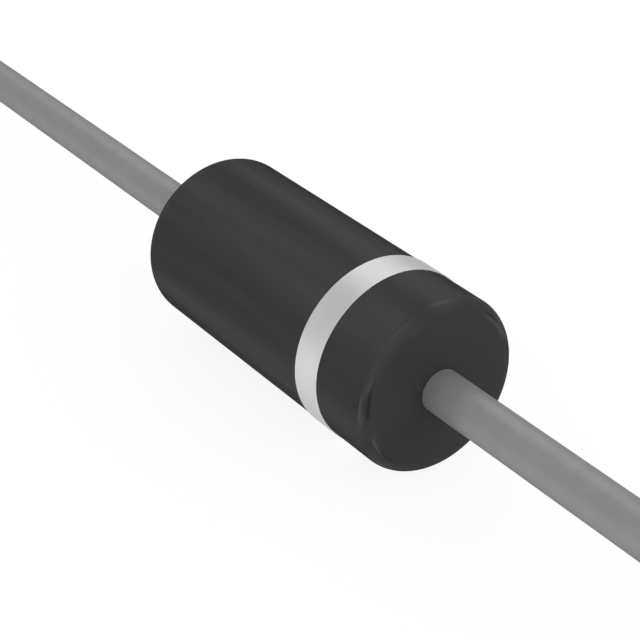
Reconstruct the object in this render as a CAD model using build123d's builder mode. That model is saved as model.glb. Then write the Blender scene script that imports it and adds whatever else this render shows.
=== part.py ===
"""Surge-clamping diode with axial leads, moulded body and printed cathode band.

The frame: the origin is the middle of the body, on the axis that both leads share. +X runs along
the leads towards the cathode, which is the banded end, and +Z is up. All lengths are millimetres.

Everything inside the body is placed outwards from the middle of the chip, in the order in which it
is stacked: chip, solder, nail head, neck, wire. The bead of coating closes round the stack, and the
body is moulded round the bead and the leads, so its cavity is the exact shape of what it holds.
"""

import os
from math import sqrt

from build123d import *

# Moulded body
body_d = 3.6
body_l = 7.6
body_edge_r = 0.315

# Cathode band, a ring of marking ink
band_w = 0.68
band_to_end = 1.385
ink_t = 0.02

# Lead wires, alike at both ends, with a cold-formed nail head inside the body. Heading leaves the
# wire behind the neck a little thick, and that swell runs out where the wire leaves the body.
lead_d = 0.86
lead_l = 25.4
tip_bevel = 0.06
head_d = 2.1
head_t = 0.38
head_bulge = 0.05
neck_flare = 0.24
neck_l = 0.4
heading_swell = 0.02

# Silicon chip, square, with its mesa edge bevelled on the anode side
chip_side = 1.6
chip_t = 0.26
mesa_bevel = 0.1

# Solder joints, square where they wet the chip and round where they wet the head
solder_t = 0.06
pad_margin = 0.03
pad_corner_r = 0.12
head_margin = 0.03

# Junction coating, a bead that covers the chip's edge and laps over both head rims
coat_cover = 0.27
coat_setback = 0.08

# Places along X, outwards from the middle of the chip
chip_face = chip_t / 2
head_face = chip_face + solder_t
head_back = head_face + head_t
neck_back = head_back + neck_l
coat_end = head_back - coat_setback
body_end = body_l / 2
lead_end = body_end + lead_l

# Radii and widths that follow from the sizes above
body_r = body_d / 2
lead_r = lead_d / 2
head_r = head_d / 2
head_flat_r = head_r - head_bulge
swell_r = lead_r + heading_swell
neck_r = swell_r + neck_flare
pad_side = chip_side - 2 * (mesa_bevel + pad_margin)
core_r = max(head_r, chip_side / sqrt(2))
coat_r = core_r + coat_cover


# Cathode lead: nail head with a bulged rim, conical neck and straight wire, in one profile
with BuildPart() as cathode_lead:
    with BuildSketch(Plane.XY) as lead_section:
        with BuildLine():
            rim = ThreePointArc(
                (head_face, head_flat_r),
                ((head_face + head_back) / 2, head_r),
                (head_back, head_flat_r),
            )
            Polyline(
                rim @ 1,
                (head_back, neck_r),
                (neck_back, swell_r),
                (body_end, lead_r),
                (lead_end, lead_r),
                (lead_end, 0),
                (head_face, 0),
                rim @ 0,
            )
        make_face()
        cut_tip = lead_section.vertices().group_by(Axis.X)[-1].sort_by(Axis.Y)[-1]
        chamfer(cut_tip, length=tip_bevel)
    revolve(axis=Axis.X)

# Anode lead: the same wire, facing the other way
with BuildPart() as anode_lead:
    mirror(cathode_lead.part, about=Plane.YZ)

# Silicon chip: a square slab whose anode face is cut back by the mesa bevel
with BuildPart() as silicon_chip:
    with BuildSketch(Plane.YZ.offset(-chip_face)):
        Rectangle(chip_side, chip_side)
    extrude(amount=chip_t)
    anode_face = silicon_chip.faces().sort_by(Axis.X)[0]
    chamfer(anode_face.edges(), length=mesa_bevel)

# Cathode solder: drawn out from the square pad on the chip to a round rim on the nail head
with BuildPart() as cathode_solder:
    with BuildSketch(Plane.YZ.offset(chip_face)):
        RectangleRounded(pad_side, pad_side, pad_corner_r)
    with BuildSketch(Plane.YZ.offset(head_face)):
        Circle(head_flat_r - head_margin)
    loft()

# Anode solder: the same joint on the other face of the chip
with BuildPart() as anode_solder:
    mirror(cathode_solder.part, about=Plane.YZ)

# The whole bead of coating, before the pieces that it closes round are taken out of it
with BuildPart() as bead_form:
    with BuildSketch(Plane.XY):
        with BuildLine():
            crown = ThreePointArc((-coat_end, head_flat_r), (0, coat_r), (coat_end, head_flat_r))
            Polyline(crown @ 1, (coat_end, 0), (-coat_end, 0), crown @ 0)
        make_face()
    revolve(axis=Axis.X)

# Junction coating: what the bead leaves between and round the heads, the solder and the chip
with BuildPart() as junction_coating:
    add(bead_form.part)
    for inner in (cathode_lead, anode_lead, silicon_chip, cathode_solder, anode_solder):
        add(inner.part, mode=Mode.SUBTRACT)

# Moulded body: a plain round bar with rounded end edges, cast round the bead and both leads
with BuildPart() as moulded_body:
    with BuildSketch(Plane.YZ.offset(-body_end)):
        Circle(body_r)
    extrude(amount=body_l)
    end_edges = moulded_body.edges().filter_by(GeomType.CIRCLE)
    fillet(end_edges, radius=body_edge_r)
    for held in (bead_form, cathode_lead, anode_lead):
        add(held.part, mode=Mode.SUBTRACT)

# Cathode band: a thin ring of ink on the body's round face
with BuildPart() as cathode_band:
    with BuildSketch(Plane.YZ.offset(body_end - band_to_end - band_w)):
        Circle(body_r + ink_t)
        Circle(body_r, mode=Mode.SUBTRACT)
    extrude(amount=band_w)


pieces = {
    "moulded_body": moulded_body,
    "cathode_band": cathode_band,
    "cathode_lead": cathode_lead,
    "anode_lead": anode_lead,
    "silicon_chip": silicon_chip,
    "cathode_solder": cathode_solder,
    "anode_solder": anode_solder,
    "junction_coating": junction_coating,
}

os.makedirs("parts", exist_ok=True)
for piece_name, piece in pieces.items():
    piece.part.label = piece_name
    export_step(piece.part, f"parts/{piece_name}.step")
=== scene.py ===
"""Looks of an axial-lead surge diode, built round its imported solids.

Every length is in metres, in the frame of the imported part: the origin is the middle of the moulded
body, +X runs along the wires towards the banded cathode end, and +Z is up. The diode lies on a pale
floor, on its band, and the camera looks down on it from the cathode end.
"""

import logging
import math
from dataclasses import dataclass
from enum import Enum
from typing import NamedTuple, Sequence

import bpy
from mathutils import Matrix, Vector

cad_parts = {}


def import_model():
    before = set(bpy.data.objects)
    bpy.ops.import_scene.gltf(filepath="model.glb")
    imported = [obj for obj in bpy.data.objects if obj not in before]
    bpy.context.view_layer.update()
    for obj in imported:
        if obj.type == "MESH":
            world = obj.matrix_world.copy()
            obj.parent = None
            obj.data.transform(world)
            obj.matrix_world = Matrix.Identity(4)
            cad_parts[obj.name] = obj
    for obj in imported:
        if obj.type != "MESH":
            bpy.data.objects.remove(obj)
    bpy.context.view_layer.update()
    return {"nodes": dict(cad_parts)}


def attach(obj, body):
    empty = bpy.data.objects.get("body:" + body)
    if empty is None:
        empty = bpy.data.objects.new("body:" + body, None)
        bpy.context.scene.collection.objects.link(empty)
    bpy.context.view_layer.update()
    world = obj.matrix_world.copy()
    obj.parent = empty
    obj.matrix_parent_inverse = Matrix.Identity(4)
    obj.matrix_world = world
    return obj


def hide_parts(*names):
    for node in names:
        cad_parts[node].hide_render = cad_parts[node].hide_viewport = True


log = logging.getLogger("diode")

MM = 0.001

# Points nearer to each other than this are one point
WELD = 1e-8

# Edges that bend more than this stay sharp
SMOOTH_ANGLE = math.radians(35)

# Where most values of a noise pattern lie
NOISE_RANGE = (0.3, 0.7)

# Where its few highest patches begin, and where they are at their fullest
RARE_PATCHES = (0.58, 0.78)


class Ring(NamedTuple):
    """One ring of a turned outline: how far along X it stands, and how far it is from the axis."""

    x: float
    radius: float


class End(Enum):
    """The two ends of the diode, each with the way its wire points along X."""

    CATHODE = 1.0
    ANODE = -1.0

    @property
    def node(self) -> str:
        """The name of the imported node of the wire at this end."""
        return f"{self.name.lower()}_lead"


def arc_rings(start: Ring, top: Ring, end: Ring, steps: int) -> list[Ring]:
    """Draw the round arc through three points of an outline.

    Args:
        start: the arc's first ring.
        top: any ring between the two ends.
        end: the arc's last ring.
        steps: how many straight pieces the arc is drawn with.

    Returns:
        The rings in order, both ends included.
    """
    a, b, c = (Vector(ring) for ring in (start, top, end))
    ab, ac = b - a, c - a
    across = ab * ac.length_squared - ac * ab.length_squared
    centre = a + Vector((-across.y, across.x)) / (2 * ab.cross(ac))
    radius = (a - centre).length
    first, middle, last = (math.atan2(p.y - centre.y, p.x - centre.x) for p in (a, b, c))
    sweep = math.remainder(last - first, math.tau)
    if sweep * math.remainder(middle - first, math.tau) < 0:
        sweep -= math.copysign(math.tau, sweep)
    angles = (first + sweep * step / steps for step in range(steps + 1))
    return [Ring(centre.x + radius * math.cos(t), centre.y + radius * math.sin(t)) for t in angles]


def deselect_everything() -> None:
    """Leave nothing selected and no object in edit mode."""
    if bpy.context.object is not None and bpy.context.object.mode != "OBJECT":
        bpy.ops.object.mode_set(mode="OBJECT")
    bpy.ops.object.select_all(action="DESELECT")


def turn(name: str, outline: Sequence[Ring], segments: int, closed: bool) -> bpy.types.Object:
    """Turn an outline about the X axis, one extruded ring after another.

    Args:
        name: the new piece's name.
        outline: the rings in order.
        segments: how many sides each ring has.
        closed: True joins the last ring to the first. False caps both with flat faces.

    Returns:
        The piece, with its place in its mesh and its faces pointing outwards.
    """
    deselect_everything()
    here, *following = outline
    bpy.ops.mesh.primitive_circle_add(
        vertices=segments,
        radius=here.radius,
        fill_type="NOTHING" if closed else "NGON",
        location=(here.x, 0, 0),
        rotation=(0, math.pi / 2, 0),
    )
    piece = bpy.context.object
    piece.name = name
    piece.data.name = name
    bpy.ops.object.transform_apply(location=True, rotation=True, scale=True)
    bpy.ops.object.mode_set(mode="EDIT")
    bpy.ops.mesh.select_all(action="SELECT")
    for ring in following:
        bpy.ops.mesh.extrude_region_move(TRANSFORM_OT_translate={"value": (ring.x - here.x, 0, 0)})
        growth = ring.radius / here.radius
        bpy.ops.transform.resize(value=(1, growth, growth), center_override=(ring.x, 0, 0))
        here = ring
    bpy.ops.mesh.select_all(action="SELECT")
    bpy.ops.mesh.remove_doubles(threshold=WELD)
    bpy.ops.mesh.normals_make_consistent(inside=False)
    bpy.ops.object.mode_set(mode="OBJECT")
    bpy.ops.object.shade_smooth_by_angle(angle=SMOOTH_ANGLE)
    return piece


class Cylindrical(NamedTuple):
    """A point by its place along the X axis, out from it and round it, from the middle and the top."""

    from_middle: bpy.types.NodeSocket
    radius: bpy.types.NodeSocket
    angle: bpy.types.NodeSocket


class Shader:
    """A material under construction: its node tree, its principled shader and short ways to add to it."""

    def __init__(self, name: str) -> None:
        """Start a material that has a principled shader and nothing else.

        Args:
            name: the new material's name.
        """
        self.material = bpy.data.materials.new(name)
        self.material.use_nodes = True
        self.tree = self.material.node_tree
        self.surface = self.tree.nodes["Principled BSDF"]
        self.place = self.tree.nodes.new("ShaderNodeTexCoord").outputs["Object"]

    def stretched(
        self, scale: tuple[float, float, float], shift: tuple[float, float, float] = (0, 0, 0)
    ) -> bpy.types.NodeSocket:
        """Scale the object's coordinates, and then shift them.

        Args:
            scale: the factor along each axis.
            shift: the distance along each axis, in metres.

        Returns:
            The new coordinates.
        """
        mapping = self.tree.nodes.new("ShaderNodeMapping")
        mapping.inputs["Scale"].default_value = scale
        mapping.inputs["Location"].default_value = shift
        self.tree.links.new(self.place, mapping.inputs["Vector"])
        return mapping.outputs["Vector"]

    def feed(self, value: bpy.types.NodeSocket | float, slot: bpy.types.NodeSocket) -> None:
        """Give a node's input a value.

        Args:
            value: what varies over the surface, or a plain number.
            slot: the input that takes it.
        """
        if isinstance(value, bpy.types.NodeSocket):
            self.tree.links.new(value, slot)
        else:
            slot.default_value = value

    def computed(self, operation: str, *values: bpy.types.NodeSocket | float) -> bpy.types.NodeSocket:
        """Work out a value that varies over the surface.

        Args:
            operation: what a Math node does with the values.
            values: one or two values, each varying or a plain number.

        Returns:
            The result.
        """
        node = self.tree.nodes.new("ShaderNodeMath")
        node.operation = operation
        for value, slot in zip(values, node.inputs):
            self.feed(value, slot)
        return node.outputs["Value"]

    def round_the_axis(self) -> Cylindrical:
        """Find where the surface is, seen from the X axis.

        Returns:
            The place of each of its points.
        """
        split = self.tree.nodes.new("ShaderNodeSeparateXYZ")
        self.tree.links.new(self.place, split.inputs["Vector"])
        across, height = split.outputs["Y"], split.outputs["Z"]
        squares = (self.computed("MULTIPLY", value, value) for value in (across, height))
        return Cylindrical(
            from_middle=self.computed("ABSOLUTE", split.outputs["X"]),
            radius=self.computed("SQRT", self.computed("ADD", *squares)),
            angle=self.computed("ARCTAN2", across, height),
        )

    def wrapped(self, point: Cylindrical, run: float, start: float = 0.0) -> bpy.types.NodeSocket:
        """Make coordinates that follow the surface round the X axis.

        Args:
            point: where the surface is.
            run: how far they go in metres for each radian.
            start: how far along they are at the top.

        Returns:
            The coordinates. They break off at the very bottom, where they meet themselves again.
        """
        place = self.tree.nodes.new("ShaderNodeCombineXYZ")
        around = self.computed("ADD", self.computed("MULTIPLY", point.angle, run), start)
        for part, slot in zip((around, point.from_middle, point.radius), place.inputs):
            self.tree.links.new(part, slot)
        return place.outputs["Vector"]

    def ramp(self, value: bpy.types.NodeSocket, start: float, end: float) -> bpy.types.NodeSocket:
        """Turn a value into a share that goes smoothly from 0 to 1.

        Args:
            value: the value, which varies over the surface.
            start: the value where the share is 0.
            end: the value where the share is 1, above start or below it.

        Returns:
            The share.
        """
        node = self.tree.nodes.new("ShaderNodeMapRange")
        node.interpolation_type = "SMOOTHSTEP"
        node.inputs["From Min"].default_value = start
        node.inputs["From Max"].default_value = end
        self.tree.links.new(value, node.inputs["Value"])
        return node.outputs["Result"]

    def mixed(
        self,
        share: bpy.types.NodeSocket,
        first: bpy.types.NodeSocket | float,
        second: bpy.types.NodeSocket | float,
    ) -> bpy.types.NodeSocket:
        """Mix two values.

        Args:
            share: how much of the second value there is, from 0 to 1.
            first: the value where the share is 0.
            second: the value where the share is 1.

        Returns:
            The mixed value.
        """
        node = self.tree.nodes.new("ShaderNodeMix")
        node.data_type = "FLOAT"
        self.tree.links.new(share, node.inputs["Factor"])
        self.feed(first, node.inputs["A"])
        self.feed(second, node.inputs["B"])
        return node.outputs["Result"]

    def noise(
        self, place: bpy.types.NodeSocket, grain: float, detail: float = 3.0, roughness: float = 0.5
    ) -> bpy.types.NodeSocket:
        """Make a noise pattern.

        Args:
            place: the coordinates that it follows.
            grain: the size of its patches in metres.
            detail: how many finer layers it has.
            roughness: how strong those layers are.

        Returns:
            Its value, from 0 to 1 about 0.5.
        """
        node = self.tree.nodes.new("ShaderNodeTexNoise")
        node.inputs["Scale"].default_value = 1 / grain
        node.inputs["Detail"].default_value = detail
        node.inputs["Roughness"].default_value = roughness
        self.tree.links.new(place, node.inputs["Vector"])
        return node.outputs["Fac"]

    def about(self, pattern: bpy.types.NodeSocket, middle: float, change: float) -> bpy.types.NodeSocket:
        """Spread the usual range of a pattern over a number and as much either side of it.

        Args:
            pattern: the pattern, with most of its values in NOISE_RANGE.
            middle: the number where the pattern is at its middle.
            change: how far the number goes down and up from there.

        Returns:
            The number, as it varies over the surface.
        """
        node = self.tree.nodes.new("ShaderNodeMapRange")
        node.inputs["From Min"].default_value = NOISE_RANGE[0]
        node.inputs["From Max"].default_value = NOISE_RANGE[1]
        node.inputs["To Min"].default_value = middle - change
        node.inputs["To Max"].default_value = middle + change
        self.tree.links.new(pattern, node.inputs["Value"])
        return node.outputs["Result"]

    def grey(self, tone: bpy.types.NodeSocket) -> None:
        """Give the surface a neutral colour of a tone that varies."""
        self.tree.links.new(tone, self.surface.inputs["Base Color"])

    def rough(self, roughness: bpy.types.NodeSocket) -> None:
        """Give the surface a roughness that varies."""
        self.tree.links.new(roughness, self.surface.inputs["Roughness"])

    def metal(self, share: float, rim_tone: float) -> None:
        """Make the surface metal.

        Args:
            share: how much of it is bare metal, from 0 to 1. The rest is a dull skin of the same tone.
            rim_tone: how bright its shine is where it turns away, from 0 to 1.
        """
        self.surface.inputs["Metallic"].default_value = share
        self.surface.inputs["Specular Tint"].default_value = (rim_tone, rim_tone, rim_tone, 1)

    def dull_rims(
        self, shine: bpy.types.NodeSocket | float, full_until: float, gone_from: float
    ) -> None:
        """Let the shine fade where the surface turns away, as a fine texture makes it.

        Args:
            shine: the specular level of a surface that faces the eye.
            full_until: how far the surface has turned away, from 0 to 1, where the fading starts.
            gone_from: how far it has turned away where no shine is left.
        """
        turned = self.tree.nodes.new("ShaderNodeLayerWeight").outputs["Facing"]
        faced = self.ramp(turned, gone_from, full_until)
        faded = self.computed("MULTIPLY", faced, shine)
        self.tree.links.new(faded, self.surface.inputs["Specular IOR Level"])

    def relief(self, height: bpy.types.NodeSocket, depth: float, strength: float) -> None:
        """Add fine relief from a pattern, on top of any that is there.

        Args:
            height: the pattern.
            depth: the height in metres between its lowest and highest points.
            strength: how much of it shows, from 0 to 1.
        """
        node = self.tree.nodes.new("ShaderNodeBump")
        node.inputs["Distance"].default_value = depth
        node.inputs["Strength"].default_value = strength
        self.tree.links.new(height, node.inputs["Height"])
        normal = self.surface.inputs["Normal"]
        if normal.is_linked:
            self.tree.links.new(normal.links[0].from_socket, node.inputs["Normal"])
        self.tree.links.new(node.outputs["Normal"], normal)


@dataclass(frozen=True)
class MouldingCompound:
    """Black epoxy compound as it leaves a finely textured mould.

    The barrel has faint lengthwise streaks painted into its colour, which are painted reflections of soft
    lights, and the end faces are plain.
    Long soft marks follow the rounded edge between them: lighter ones are painted highlights where the
    edge is also smoother and shinier, and darker ones are painted dark streaks.
    The shine fades towards the rims.
    """

    barrel_tone: float = 0.052
    face_tone: float = 0.045
    # Tones of the painted highlights and painted dark streaks on the rounded edge
    painted_glint_tone: float = 0.085
    painted_dark_streak_tone: float = 0.024
    roughness: float = 0.42
    roughness_change: float = 0.04
    rubbed_roughness: float = 0.3
    refraction: float = 1.5
    shine: float = 0.04
    rubbed_shine: float = 0.15
    shine_full_until: float = 0.2
    shine_gone_from: float = 0.82
    # Painted reflection streaks along the barrel: lighter and darker bands in its colour
    reflection_streak_grain: float = 0.9 * MM
    reflection_streak_stretch: float = 14.0
    reflection_streak_shift: tuple[float, float, float] = (0, 32.5 * MM, 3.6 * MM)
    reflection_streak_change: float = 0.015
    # Sizes and placing of the painted highlights and painted dark streaks on the rounded edge
    glint_grain: float = 0.15 * MM
    dark_streak_grain: float = 0.12 * MM
    edge_streak_stretch: float = 7.0
    edge_streak_start: float = 44.63 * MM
    filler_grain: float = 0.05 * MM
    filler_depth: float = 0.001 * MM
    mould_grain: float = 0.12 * MM
    mould_depth: float = 0.002 * MM
    relief_share: float = 0.25

    def material(self, radius: float, end: float, edge_radius: float) -> bpy.types.Material:
        """Make the material.

        Args:
            radius: the barrel's radius.
            end: where the end faces stand, out from the middle.
            edge_radius: the rounding between the barrel and an end face.

        Returns:
            The material.
        """
        shader = Shader("black_moulding_compound")
        point = shader.round_the_axis()
        edge_middle = edge_radius / 2
        on_barrel = shader.ramp(point.radius, radius - edge_radius, radius)
        past_shoulder = shader.ramp(point.from_middle, end - edge_radius, end - edge_middle)
        outside_face = shader.ramp(point.radius, radius - edge_radius, radius - edge_middle)
        on_edge = shader.computed("MULTIPLY", past_shoulder, outside_face)

        # Lengthwise streaks in the barrel's colour are painted reflections
        reflection_streak_place = shader.stretched((1 / self.reflection_streak_stretch, 1, 1), self.reflection_streak_shift)
        streaks = shader.noise(reflection_streak_place, self.reflection_streak_grain)
        around = shader.wrapped(point, radius / self.edge_streak_stretch, self.edge_streak_start)
        # Lighter edge marks are painted highlights on a smoother, shinier edge; darker edge marks are
        # painted dark streaks
        polish_and_glint_patches = shader.ramp(shader.noise(around, self.glint_grain, detail=1), *RARE_PATCHES)
        dark_streak_patches = shader.ramp(shader.noise(around, self.dark_streak_grain, detail=0.5), *RARE_PATCHES)
        polish_and_glint = shader.computed("MULTIPLY", on_edge, polish_and_glint_patches)
        dark_streaks = shader.computed("MULTIPLY", on_edge, dark_streak_patches)
        filler = shader.noise(shader.place, self.filler_grain, detail=2)
        texture = shader.noise(shader.place, self.mould_grain, detail=4, roughness=0.6)

        # The barrel's tone carries the painted reflection streaks
        barrel_tone = shader.about(streaks, self.barrel_tone, self.reflection_streak_change)
        plain_tone = shader.mixed(on_barrel, self.face_tone, barrel_tone)
        # Painted highlights and painted dark streaks on the rounded edge
        painted_glint_tone = shader.mixed(polish_and_glint, plain_tone, self.painted_glint_tone)
        shader.grey(shader.mixed(dark_streaks, painted_glint_tone, self.painted_dark_streak_tone))
        plain_roughness = shader.about(filler, self.roughness, self.roughness_change)
        shader.rough(shader.mixed(polish_and_glint, plain_roughness, self.rubbed_roughness))
        shine = shader.mixed(polish_and_glint, self.shine, self.rubbed_shine)
        shader.surface.inputs["IOR"].default_value = self.refraction
        shader.dull_rims(shine, self.shine_full_until, self.shine_gone_from)
        shader.relief(texture, self.mould_depth, self.relief_share)
        shader.relief(filler, self.filler_depth, self.relief_share)
        return shader.material


@dataclass(frozen=True)
class MarkingInk:
    """Silver-grey ink, full of fine metal flakes, printed on and cured matte."""

    tone: float = 0.73
    mottle: float = 0.02
    roughness: float = 0.46
    roughness_change: float = 0.03
    flake_cover: float = 1.0
    rim_tone: float = 0.6
    patch_grain: float = 0.5 * MM
    flake_grain: float = 0.04 * MM
    flake_depth: float = 0.001 * MM
    relief_share: float = 0.2

    def material(self) -> bpy.types.Material:
        """Make the material.

        Returns:
            The material.
        """
        shader = Shader("silver_grey_ink")
        patches = shader.noise(shader.place, self.patch_grain)
        flakes = shader.noise(shader.place, self.flake_grain, detail=2)
        shader.grey(shader.about(patches, self.tone, self.mottle))
        shader.rough(shader.about(flakes, self.roughness, self.roughness_change))
        shader.metal(self.flake_cover, self.rim_tone)
        shader.relief(flakes, self.flake_depth, self.relief_share)
        return shader.material


@dataclass(frozen=True)
class TinnedWire:
    """Dull tin on drawn copper wire, with faint marks along the wire from the drawing die.

    It is partly bare metal and partly a dull skin, whose shine fades towards the rims.
    """

    tone: float = 0.325
    mottle: float = 0.014
    roughness: float = 0.34
    roughness_change: float = 0.03
    bare_metal: float = 0.28
    rim_tone: float = 0.2
    skin_shine: float = 0.2
    shine_full_until: float = 0.2
    shine_gone_from: float = 0.82
    patch_grain: float = 0.4 * MM
    drawn_grain: float = 0.03 * MM
    drawn_stretch: float = 60.0
    drawn_depth: float = 0.001 * MM
    relief_share: float = 0.1

    def material(self) -> bpy.types.Material:
        """Make the material.

        Returns:
            The material.
        """
        shader = Shader("dull_tin")
        patches = shader.noise(shader.place, self.patch_grain)
        along = shader.stretched((1 / self.drawn_stretch, 1, 1))
        marks = shader.noise(along, self.drawn_grain, detail=2)
        shader.grey(shader.about(patches, self.tone, self.mottle))
        shader.rough(shader.about(marks, self.roughness, self.roughness_change))
        shader.metal(self.bare_metal, self.rim_tone)
        shader.dull_rims(self.skin_shine, self.shine_full_until, self.shine_gone_from)
        shader.relief(marks, self.drawn_depth, self.relief_share)
        return shader.material


@dataclass(frozen=True)
class LappedSilicon:
    """Dark grey silicon with the fine scratches of lapping."""

    tone: float = 0.1
    mottle: float = 0.01
    roughness: float = 0.3
    roughness_change: float = 0.05
    bare_metal: float = 0.6
    rim_tone: float = 0.8
    scratch_grain: float = 0.02 * MM
    scratch_stretch: float = 20.0
    scratch_depth: float = 0.0005 * MM
    relief_share: float = 0.2

    def material(self) -> bpy.types.Material:
        """Make the material.

        Returns:
            The material.
        """
        shader = Shader("lapped_silicon")
        scratches = shader.noise(shader.stretched((1, 1 / self.scratch_stretch, 1)), self.scratch_grain)
        shader.grey(shader.about(scratches, self.tone, self.mottle))
        shader.rough(shader.about(scratches, self.roughness, self.roughness_change))
        shader.metal(self.bare_metal, self.rim_tone)
        shader.relief(scratches, self.scratch_depth, self.relief_share)
        return shader.material


@dataclass(frozen=True)
class SoftSolder:
    """Dull soft solder, grainy where it froze."""

    tone: float = 0.42
    mottle: float = 0.04
    roughness: float = 0.45
    roughness_change: float = 0.06
    bare_metal: float = 1.0
    rim_tone: float = 0.8
    crystal_grain: float = 0.06 * MM
    crystal_depth: float = 0.001 * MM
    relief_share: float = 0.3

    def material(self) -> bpy.types.Material:
        """Make the material.

        Returns:
            The material.
        """
        shader = Shader("soft_solder")
        crystals = shader.noise(shader.place, self.crystal_grain)
        shader.grey(shader.about(crystals, self.tone, self.mottle))
        shader.rough(shader.about(crystals, self.roughness, self.roughness_change))
        shader.metal(self.bare_metal, self.rim_tone)
        shader.relief(crystals, self.crystal_depth, self.relief_share)
        return shader.material


@dataclass(frozen=True)
class JunctionSilicone:
    """Milky white silicone, cured soft, faintly uneven."""

    tone: float = 0.72
    mottle: float = 0.03
    roughness: float = 0.35
    roughness_change: float = 0.05
    refraction: float = 1.41
    ripple_grain: float = 0.3 * MM
    ripple_depth: float = 0.004 * MM
    relief_share: float = 0.2

    def material(self) -> bpy.types.Material:
        """Make the material.

        Returns:
            The material.
        """
        shader = Shader("milky_silicone")
        ripple = shader.noise(shader.place, self.ripple_grain)
        shader.grey(shader.about(ripple, self.tone, self.mottle))
        shader.rough(shader.about(ripple, self.roughness, self.roughness_change))
        shader.surface.inputs["IOR"].default_value = self.refraction
        shader.relief(ripple, self.ripple_depth, self.relief_share)
        return shader.material


def dress(piece: bpy.types.Object, material: bpy.types.Material) -> None:
    """Give a piece its only material."""
    piece.data.materials.clear()
    piece.data.materials.append(material)


@dataclass(frozen=True)
class JunctionStack:
    """Places inside the body, outwards from the middle of the chip, and the bead round them."""

    head_face: float = 0.19 * MM
    head_thickness: float = 0.38 * MM
    head_radius: float = 1.05 * MM
    head_bulge: float = 0.05 * MM
    neck_length: float = 0.4 * MM
    neck_flare: float = 0.24 * MM
    bead_setback: float = 0.08 * MM
    bead_cover: float = 0.27 * MM
    chip_side: float = 1.6 * MM
    rim_steps: int = 8

    @property
    def head_back(self) -> float:
        """Where the back of a nail head stands."""
        return self.head_face + self.head_thickness

    @property
    def neck_back(self) -> float:
        """Where the neck behind a nail head has run down to the wire."""
        return self.head_back + self.neck_length

    @property
    def bead_end(self) -> float:
        """Where the bead of coating ends on a head's rim."""
        return self.head_back - self.bead_setback

    @property
    def head_flat_radius(self) -> float:
        """The radius of a head's flat faces, inside its bulged rim."""
        return self.head_radius - self.head_bulge

    @property
    def bead_radius(self) -> float:
        """The radius of the bead at its crown."""
        return max(self.head_radius, self.chip_side / math.sqrt(2)) + self.bead_cover

    def head_rim(self) -> list[Ring]:
        """Draw the bulged rim of a nail head.

        Returns:
            Its rings, from the face of the head to its back.
        """
        return arc_rings(
            Ring(self.head_face, self.head_flat_radius),
            Ring(self.head_face + self.head_thickness / 2, self.head_radius),
            Ring(self.head_back, self.head_flat_radius),
            self.rim_steps,
        )


@dataclass(frozen=True)
class WireStock:
    """The round wire that both leads are made from.

    Heading leaves the wire a little thick behind its neck. That swell runs out where it leaves the body.
    """

    radius: float = 0.43 * MM
    length: float = 25.4 * MM
    tip_bevel: float = 0.06 * MM
    swell: float = 0.02 * MM

    @property
    def grip_radius(self) -> float:
        """The radius behind the neck, where the swell is full."""
        return self.radius + self.swell


@dataclass
class LeadWire:
    """A tinned wire with the nail head that holds it in the body."""

    end: End
    stack: JunctionStack
    stock: WireStock
    body_end: float
    segments: int = 96

    def outline(self) -> list[Ring]:
        """Draw the outline of a wire along +X.

        Returns:
            Its rings, from the face of its head to its cut tip.
        """
        stack = self.stack
        stock = self.stock
        tip = self.body_end + stock.length
        return [
            *stack.head_rim(),
            Ring(stack.head_back, stock.grip_radius + stack.neck_flare),
            Ring(stack.neck_back, stock.grip_radius),
            Ring(self.body_end, stock.radius),
            Ring(tip - stock.tip_bevel, stock.radius),
            Ring(tip, stock.radius - stock.tip_bevel),
        ]

    def build(self, finish: bpy.types.Material) -> bpy.types.Object:
        """Model the wire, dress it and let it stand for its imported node.

        Args:
            finish: the wire's material.

        Returns:
            The finished piece.
        """
        rings = [Ring(self.end.value * ring.x, ring.radius) for ring in self.outline()]
        wire = turn(f"{self.end.node}_drawn", rings, self.segments, closed=False)
        dress(wire, finish)
        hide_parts(self.end.node)
        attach(wire, "root")
        return wire


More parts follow.
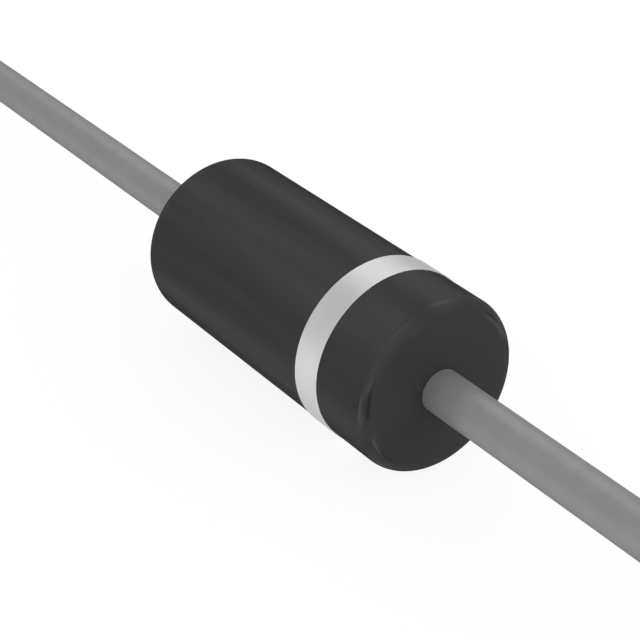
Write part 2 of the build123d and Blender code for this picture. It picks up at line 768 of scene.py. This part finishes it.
@dataclass
class MouldedBody:
    """The black moulding, with the cavity that the wires, heads and bead fill.

    A hold line is a ring close beside an edge, which keeps the shading of the face next to it even.
    """

    stack: JunctionStack
    stock: WireStock
    diameter: float = 3.6 * MM
    length: float = 7.6 * MM
    edge_radius: float = 0.315 * MM
    hold_line: float = 0.01 * MM
    segments: int = 192
    edge_steps: int = 14
    bead_steps: int = 28

    @property
    def end(self) -> float:
        """Where an end face stands."""
        return self.length / 2

    @property
    def radius(self) -> float:
        """The radius of the round face."""
        return self.diameter / 2

    def outer_half(self) -> list[Ring]:
        """Draw the outside of the cathode half.

        Returns:
            Its rings, from the end of the barrel to the wire's hole.
        """
        radius = self.radius
        shoulder = self.end - self.edge_radius
        diagonal = self.edge_radius * math.sqrt(0.5)
        edge = arc_rings(
            Ring(shoulder, radius),
            Ring(shoulder + diagonal, radius - self.edge_radius + diagonal),
            Ring(self.end, radius - self.edge_radius),
            self.edge_steps,
        )
        return [
            Ring(shoulder - self.hold_line, radius),
            *edge,
            Ring(self.end, radius - self.edge_radius - self.hold_line),
            Ring(self.end, self.stock.radius + self.hold_line),
            Ring(self.end, self.stock.radius),
        ]

    def cavity_half(self) -> list[Ring]:
        """Draw the inside of the cathode half.

        Returns:
            Its rings, from the wire's neck to the last one before the crown of the bead.
        """
        stack = self.stack
        grip = self.stock.grip_radius
        bead = arc_rings(
            Ring(-stack.bead_end, stack.head_flat_radius),
            Ring(0, stack.bead_radius),
            Ring(stack.bead_end, stack.head_flat_radius),
            self.bead_steps,
        )
        rim = [ring for ring in reversed(stack.head_rim()) if ring.x > stack.bead_end]
        cover = [ring for ring in reversed(bead) if ring.x > 0 and ring.radius > rim[-1].radius]
        return [
            Ring(stack.neck_back, grip),
            Ring(stack.head_back, grip + stack.neck_flare),
            *rim,
            *cover,
        ]

    def build(self, finish: bpy.types.Material) -> bpy.types.Object:
        """Model the body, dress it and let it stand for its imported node.

        Args:
            finish: the body's material.

        Returns:
            The finished piece.
        """
        half = self.outer_half() + self.cavity_half()
        other = [Ring(-ring.x, ring.radius) for ring in reversed(half)]
        crown = Ring(0, self.stack.bead_radius)
        body = turn("moulded_body_cast", [*half, crown, *other, half[0]], self.segments, closed=True)
        dress(body, finish)
        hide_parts("moulded_body")
        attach(body, "root")
        return body


@dataclass
class CathodeBand:
    """The printed ring that marks the cathode end."""

    body_radius: float
    body_end: float
    width: float = 0.68 * MM
    to_end: float = 1.385 * MM
    ink: float = 0.02 * MM
    edge: float = 0.006 * MM
    segments: int = 192

    @property
    def outer_radius(self) -> float:
        """The radius over the ink."""
        return self.body_radius + self.ink

    def build(self, finish: bpy.types.Material) -> bpy.types.Object:
        """Model the band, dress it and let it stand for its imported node.

        Args:
            finish: the ink's material.

        Returns:
            The finished piece.
        """
        right = self.body_end - self.to_end
        left = right - self.width
        outline = [
            Ring(left, self.body_radius),
            Ring(left, self.outer_radius - self.edge),
            Ring(left + self.edge, self.outer_radius),
            Ring(right - self.edge, self.outer_radius),
            Ring(right, self.outer_radius - self.edge),
            Ring(right, self.body_radius),
            Ring(left, self.body_radius),
        ]
        band = turn("cathode_band_printed", outline, self.segments, closed=True)
        dress(band, finish)
        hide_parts("cathode_band")
        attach(band, "root")
        return band


@dataclass
class SealedPieces:
    """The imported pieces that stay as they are, closed in by the moulding."""

    nodes: dict[str, bpy.types.Object]

    def build(self) -> None:
        """Give each sealed node the material that the real piece has."""
        solder = SoftSolder().material()
        finishes = {
            "silicon_chip": LappedSilicon().material(),
            "cathode_solder": solder,
            "anode_solder": solder,
            "junction_coating": JunctionSilicone().material(),
        }
        for name, material in finishes.items():
            dress(self.nodes[name], material)
            log.info("dressed %s with %s", name, material.name)


@dataclass(frozen=True)
class SoftBox:
    """A flat soft light, hung in a given direction from the diode.

    Its width runs as nearly along the wires as that direction lets it. A brightness of 1 is white.
    """

    name: str
    direction: tuple[float, float, float]
    brightness: float
    width: float
    height: float
    distance: float = 0.5

    def build(self) -> bpy.types.Object:
        """Hang the light where it faces the diode.

        Returns:
            The lamp.
        """
        data = bpy.data.lights.new(self.name, "AREA")
        data.shape = "RECTANGLE"
        data.size = self.width
        data.size_y = self.height
        data.energy = self.brightness * math.pi * self.width * self.height
        lamp = bpy.data.objects.new(self.name, data)
        bpy.context.scene.collection.objects.link(lamp)
        away = Vector(self.direction).normalized()
        along = (Vector((1, 0, 0)) - away * away.x).normalized()
        facing = Matrix((along, away.cross(along), away)).transposed()
        lamp.matrix_world = Matrix.Translation(away * self.distance) @ facing.to_4x4()
        return lamp


@dataclass
class ProductCamera:
    """The camera, held upright at the photograph's angle and distance.

    It aims at a point as high as the axis, given along and across the diode. The frame and the focal
    length are in pixels of the photograph, and the sensor is in millimetres.
    """

    aim_along: float = 0.437 * MM
    aim_across: float = -0.331 * MM
    azimuth: float = math.radians(54.846)
    elevation: float = math.radians(30.104)
    distance: float = 34.821 * MM
    focal_pixels: float = 1783.4
    frame_pixels: float = 640.0
    sensor: float = 36.0
    nearest_seen: float = 1 * MM
    farthest_seen: float = 10.0

    def build(self) -> bpy.types.Object:
        """Place the camera and make it the scene's own.

        Returns:
            The camera.
        """
        data = bpy.data.cameras.new("camera")
        data.sensor_width = self.sensor
        data.lens = self.sensor * self.focal_pixels / self.frame_pixels
        data.clip_start = self.nearest_seen
        data.clip_end = self.farthest_seen
        camera = bpy.data.objects.new("camera", data)
        bpy.context.scene.collection.objects.link(camera)
        level = math.cos(self.elevation)
        back = Vector(
            (math.sin(self.azimuth) * level, -math.cos(self.azimuth) * level, math.sin(self.elevation))
        )
        camera.location = Vector((self.aim_along, self.aim_across, 0)) + back * self.distance
        camera.rotation_mode = "QUATERNION"
        camera.rotation_quaternion = (-back).to_track_quat("-Z", "Y")
        bpy.context.scene.camera = camera
        return camera


@dataclass
class Studio:
    """The floor, the world and the lights round the diode."""

    floor_height: float
    floor_size: float = 4.0
    floor_tone: float = 0.48
    floor_glow: float = 0.35
    seen_floor_tone: float = 0.13
    seen_floor_glow: float = 0.9
    bright_side: tuple[float, float, float] = (0.95, -0.3, -0.6)
    brightest: float = 0.965
    dimmest: float = 0.58
    back_box: SoftBox = SoftBox(
        "back_box", direction=(-0.707, 0.395, 0.586), brightness=0.65, width=0.3, height=0.4
    )
    end_fill: SoftBox = SoftBox(
        "end_fill", direction=(0.75, 0.45, 0.5), brightness=1.2, width=0.3, height=0.3
    )

    @staticmethod
    def light_table(tree: bpy.types.NodeTree, tone: float, glow: float) -> bpy.types.NodeSocket:
        """Make a surface of a pale tone that also glows evenly from below.

        Args:
            tree: the material's node tree.
            tone: how much light the surface gives back, from 0 to 1.
            glow: how strongly it glows, where 1 is white.

        Returns:
            The surface's shader.
        """
        surface = tree.nodes.new("ShaderNodeBsdfDiffuse")
        surface.inputs["Color"].default_value = (tone, tone, tone, 1)
        light = tree.nodes.new("ShaderNodeEmission")
        light.inputs["Strength"].default_value = glow
        both = tree.nodes.new("ShaderNodeAddShader")
        tree.links.new(surface.outputs["BSDF"], both.inputs[0])
        tree.links.new(light.outputs["Emission"], both.inputs[1])
        return both.outputs["Shader"]

    def floor_material(self) -> bpy.types.Material:
        """Make the floor a soft light table, which looks white, with a faint shadow under the diode.

        Returns:
            The material.
        """
        material = bpy.data.materials.new("floor")
        material.use_nodes = True
        tree = material.node_tree
        tree.nodes.clear()
        plain = self.light_table(tree, self.floor_tone, self.floor_glow)
        white = self.light_table(tree, self.seen_floor_tone, self.seen_floor_glow)
        rays = tree.nodes.new("ShaderNodeLightPath").outputs
        seen = rays["Is Camera Ray"]
        for kind in ("Is Glossy Ray", "Is Transmission Ray"):
            either = tree.nodes.new("ShaderNodeMath")
            either.operation = "MAXIMUM"
            tree.links.new(seen, either.inputs[0])
            tree.links.new(rays[kind], either.inputs[1])
            seen = either.outputs["Value"]
        mix = tree.nodes.new("ShaderNodeMixShader")
        tree.links.new(seen, mix.inputs["Fac"])
        tree.links.new(plain, mix.inputs[1])
        tree.links.new(white, mix.inputs[2])
        out = tree.nodes.new("ShaderNodeOutputMaterial")
        tree.links.new(mix.outputs["Shader"], out.inputs["Surface"])
        return material

    def floor(self) -> bpy.types.Object:
        """Lay the floor that the diode lies on.

        Returns:
            The floor.
        """
        deselect_everything()
        bpy.ops.mesh.primitive_plane_add(size=self.floor_size, location=(0, 0, self.floor_height))
        floor = bpy.context.object
        floor.name = "floor"
        floor.data.materials.append(self.floor_material())
        return floor

    def world(self) -> None:
        """Fill the studio with soft white light, brightest low beyond the cathode end."""
        world = bpy.data.worlds.new("studio")
        world.use_nodes = True
        bpy.context.scene.world = world
        tree = world.node_tree
        direction = tree.nodes.new("ShaderNodeTexCoord")
        lean = tree.nodes.new("ShaderNodeVectorMath")
        lean.operation = "DOT_PRODUCT"
        lean.inputs[1].default_value = Vector(self.bright_side).normalized()
        brightness = tree.nodes.new("ShaderNodeMapRange")
        brightness.inputs["From Min"].default_value = -1.0
        brightness.inputs["From Max"].default_value = 1.0
        brightness.inputs["To Min"].default_value = self.dimmest
        brightness.inputs["To Max"].default_value = self.brightest
        background = tree.nodes["Background"]
        background.inputs["Color"].default_value = (1, 1, 1, 1)
        tree.links.new(direction.outputs["Generated"], lean.inputs[0])
        tree.links.new(lean.outputs["Value"], brightness.inputs["Value"])
        tree.links.new(brightness.outputs["Result"], background.inputs["Strength"])

    def build(self) -> None:
        """Set the studio up, with a soft box that the metal reflects and a fill at the cathode end."""
        self.floor()
        self.world()
        self.back_box.build()
        self.end_fill.build()
        bpy.context.scene.view_settings.view_transform = "Standard"


def main() -> None:
    """Build the diode's pieces in order, then the studio round them."""
    logging.basicConfig(level=logging.INFO, format="%(message)s")
    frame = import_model()
    stack = JunctionStack()
    stock = WireStock()
    moulding = MouldedBody(stack, stock)
    band = CathodeBand(moulding.radius, moulding.end)
    compound = MouldingCompound().material(moulding.radius, moulding.end, moulding.edge_radius)
    tin = TinnedWire().material()
    pieces = [
        moulding.build(compound),
        band.build(MarkingInk().material()),
        *(LeadWire(end, stack, stock, moulding.end).build(tin) for end in End),
    ]
    for piece in pieces:
        log.info("built %s with %d faces", piece.name, len(piece.data.polygons))
    SealedPieces(frame["nodes"]).build()
    Studio(floor_height=-band.outer_radius).build()
    ProductCamera().build()


if __name__ == "__main__":
    main()
